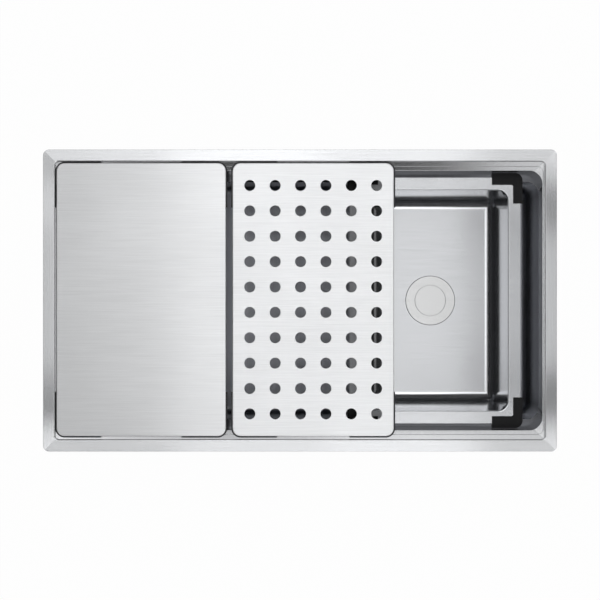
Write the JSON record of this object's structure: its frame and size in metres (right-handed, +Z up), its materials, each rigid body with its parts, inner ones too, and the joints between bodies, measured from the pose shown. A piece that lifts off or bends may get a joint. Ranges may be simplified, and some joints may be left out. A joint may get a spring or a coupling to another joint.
{
  "type": "workstation kitchen sink",
  "caption": "Two-level stainless sink with a flat deck, a sliding cover, a perforated drainer and a smaller basin that slides on a ledge.",
  "frame": {"origin": "centre of the worktop cut-out, in the plane of the worktop's top face, where the rim seal sits", "axes": "+X to the right along the sink's length, +Y to the rear, +Z up out of the worktop"},
  "size_m": [0.81, 0.476, 0.342],
  "materials": {
    "deck_steel": "satin brushed stainless",
    "bowl_steel": "satin brushed stainless",
    "plate_steel": "satin stainless, brushed left to right",
    "basin_steel": "satin brushed stainless",
    "waste_steel": "satin stainless",
    "basin_waste_steel": "satin stainless",
    "rail_steel": "plain zinc-plated steel",
    "clip_steel": "zinc-plated steel",
    "screw_steel": "plated steel",
    "pad_plastic": "black moulded plastic",
    "runner_plastic": "black moulded plastic",
    "nut_plastic": "black moulded plastic",
    "pipe_plastic": "white moulded plastic",
    "seal_rubber": "black rubber",
    "damping_rubber": "dark grey damping rubber",
    "fibre_board": "pressed fibre"
  },
  "bodies": {
    "sink": {"deck_frame": "deck_steel", "main_bowl": "bowl_steel", "rim_seal": "seal_rubber", "clip_rails": "rail_steel", "mounting_clips": "clip_steel", "clip_screws": "screw_steel", "front_damping_pad": "damping_rubber", "rear_damping_pad": "damping_rubber", "left_damping_pad": "damping_rubber", "right_damping_pad": "damping_rubber", "floor_damping_pad": "damping_rubber", "strainer_body": "waste_steel", "strainer_gasket": "seal_rubber", "strainer_washer": "seal_rubber", "fibre_washer": "fibre_board", "strainer_locknut": "nut_plastic", "tailpiece_washer": "seal_rubber", "tailpiece": "pipe_plastic", "tailpiece_nut": "pipe_plastic"},
    "basket": {"strainer_basket": "waste_steel", "basket_stopper": "seal_rubber", "basket_post": "waste_steel"},
    "cover": {"cover_plate": "plate_steel", "cover_pad_front_left": "pad_plastic", "cover_pad_front_right": "pad_plastic", "cover_pad_rear_left": "pad_plastic", "cover_pad_rear_right": "pad_plastic"},
    "drainer": {"drainer_plate": "plate_steel", "drainer_pad_front_left": "pad_plastic", "drainer_pad_front_right": "pad_plastic", "drainer_pad_rear_left": "pad_plastic", "drainer_pad_rear_right": "pad_plastic"},
    "basin": {"basin_shell": "basin_steel", "basin_runner_front_left": "runner_plastic", "basin_runner_front_right": "runner_plastic", "basin_runner_rear_left": "runner_plastic", "basin_runner_rear_right": "runner_plastic", "basin_waste_body": "basin_waste_steel", "basin_waste_gasket": "seal_rubber", "basin_waste_nut": "nut_plastic"},
    "plug": {"plug_cap": "basin_waste_steel", "plug_stem": "screw_steel", "plug_seal": "seal_rubber"}
  },
  "joints": [
    {"name": "cover_lift", "type": "slide", "parent": "sink", "child": "cover", "axis": [0, 0, 1], "range_m": [0, 0.1]},
    {"name": "drainer_slide", "type": "slide", "parent": "sink", "child": "drainer", "axis": [1, 0, 0], "range_m": [-0.005, 0.235]},
    {"name": "basin_slide", "type": "slide", "parent": "sink", "child": "basin", "axis": [1, 0, 0], "range_m": [-0.4535, 0.0205]},
    {"name": "plug_rise", "type": "slide", "parent": "basin", "child": "plug", "axis": [0, 0, 1], "range_m": [0, 0.008]},
    {"name": "basket_lift", "type": "slide", "parent": "sink", "child": "basket", "axis": [0, 0, 1], "range_m": [0, 0.035]}
  ]
}
